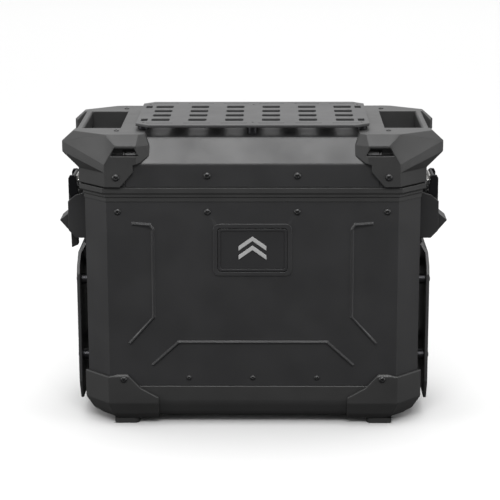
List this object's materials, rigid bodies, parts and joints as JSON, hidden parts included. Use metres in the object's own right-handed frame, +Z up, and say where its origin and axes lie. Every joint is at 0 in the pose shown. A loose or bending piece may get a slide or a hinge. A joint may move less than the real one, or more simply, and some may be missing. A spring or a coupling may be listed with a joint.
{
  "type": "motorcycle side case",
  "caption": "Hard side case with a lift-up lid, slotted cargo plate, moulded corner handles, end latches with key locks, side guards and hooks for a rack.",
  "frame": {"origin": "under the middle of the whole assembly's box, on the plane of the feet", "axes": "+Z up; -Y out of the beaded outer panel, +Y towards the rack; +X along the case, to the right when facing the outer panel"},
  "size_m": [0.5176, 0.2634, 0.3995],
  "materials": {
    "coated_aluminium": "black powder coat over drawn aluminium, fine texture, satin",
    "coated_plate": "black powder coat over flat aluminium plate, satin",
    "moulded_black": "injection-moulded black nylon, fine spark-eroded grain",
    "latch_plastic": "glass-filled black nylon, smoother than the corner mouldings",
    "rubber_black": "matt black rubber",
    "black_fastener": "black-oxide steel, semi-gloss",
    "badge_black": "satin black badge carrier",
    "badge_silver": "pale grey moulded emblem",
    "spacer_aluminium": "dark anodised aluminium",
    "stainless_steel": "bright polished stainless steel",
    "zinc_steel": "black zinc-plated steel"
  },
  "bodies": {
    "case": {"case_shell": "coated_aluminium", "case_rim": "moulded_black", "base_tray": "moulded_black", "corner_guard_front_left": "moulded_black", "corner_guard_front_right": "moulded_black", "corner_guard_back_left": "moulded_black", "corner_guard_back_right": "moulded_black", "rubber_feet": "rubber_black", "rim_bolts": "black_fastener", "base_rivets": "black_fastener", "guard_bolts": "black_fastener", "badge_frame": "badge_black", "badge_plate": "badge_black", "badge_emblem": "badge_silver", "side_plate_left": "coated_plate", "side_plate_right": "coated_plate", "side_plate_standoffs": "spacer_aluminium", "side_plate_bolts": "black_fastener", "latch_screws": "black_fastener", "latch_base_left": "latch_plastic", "latch_base_right": "latch_plastic", "lever_pin_left": "stainless_steel", "lever_pin_right": "stainless_steel", "rack_hook_upper_left": "zinc_steel", "rack_hook_upper_right": "zinc_steel", "rack_hook_lower_left": "zinc_steel", "rack_hook_lower_right": "zinc_steel", "rack_bolts": "black_fastener", "rack_lock_housing": "latch_plastic"},
    "lid": {"lid_shell": "coated_aluminium", "lid_end_wall_left": "coated_aluminium", "lid_end_wall_right": "coated_aluminium", "lid_shelf_left": "coated_aluminium", "lid_shelf_right": "coated_aluminium", "lid_gasket": "rubber_black", "lid_end_left": "moulded_black", "lid_end_right": "moulded_black", "lid_bolts": "black_fastener", "lid_corner_bolts": "black_fastener", "handle_screws": "black_fastener", "cargo_plate": "coated_plate", "plate_posts": "spacer_aluminium", "plate_bolts": "black_fastener", "keeper_left": "stainless_steel", "keeper_right": "stainless_steel"},
    "lever_left": {"latch_lever_left": "latch_plastic", "hook_pins_left": "stainless_steel", "pull_tab": "rubber_black"},
    "lever_right": {"latch_lever_right": "latch_plastic", "hook_pins_right": "stainless_steel"},
    "hook_left": {"latch_hook_left": "stainless_steel"},
    "hook_right": {"latch_hook_right": "stainless_steel"},
    "key_left": {"lock_cylinder_left": "stainless_steel"},
    "key_right": {"lock_cylinder_right": "stainless_steel"},
    "rack_lock": {"rack_lock_knob": "latch_plastic", "rack_lock_cam": "zinc_steel"}
  },
  "joints": [
    {"name": "lid_hinge", "type": "hinge", "parent": "case", "child": "lid", "pos_m": [-0.2384, -0.00898, 0.317], "axis": [0, -1, 0], "range_deg": [0, 95]},
    {"name": "lever_left", "type": "hinge", "parent": "case", "child": "lever_left", "pos_m": [-0.234, -0.00898, 0.299], "axis": [0, 1, 0], "range_deg": [0, 70]},
    {"name": "hook_left", "type": "hinge", "parent": "lever_left", "child": "hook_left", "pos_m": [-0.2335, -0.00898, 0.283], "axis": [0, -1, 0], "range_deg": [0, 115]},
    {"name": "key_left", "type": "hinge", "parent": "lever_left", "child": "key_left", "pos_m": [-0.2468, -0.00898, 0.271], "axis": [-1, 0, 0], "range_deg": [0, 90]},
    {"name": "lever_right", "type": "hinge", "parent": "case", "child": "lever_right", "pos_m": [0.234, -0.00898, 0.299], "axis": [0, -1, 0], "range_deg": [0, 70]},
    {"name": "hook_right", "type": "hinge", "parent": "lever_right", "child": "hook_right", "pos_m": [0.2335, -0.00898, 0.283], "axis": [0, 1, 0], "range_deg": [0, 115]},
    {"name": "key_right", "type": "hinge", "parent": "lever_right", "child": "key_right", "pos_m": [0.2468, -0.00898, 0.271], "axis": [1, 0, 0], "range_deg": [0, 90]},
    {"name": "rack_lock", "type": "hinge", "parent": "case", "child": "rack_lock", "pos_m": [0, 0.10103, 0.17], "axis": [0, -1, 0], "range_deg": [0, 90]}
  ],
  "couplings": [
    {"joint": "hook_left", "follows": "lever_left", "ratio": 1.6428},
    {"joint": "hook_right", "follows": "lever_right", "ratio": 1.6428}
  ]
}
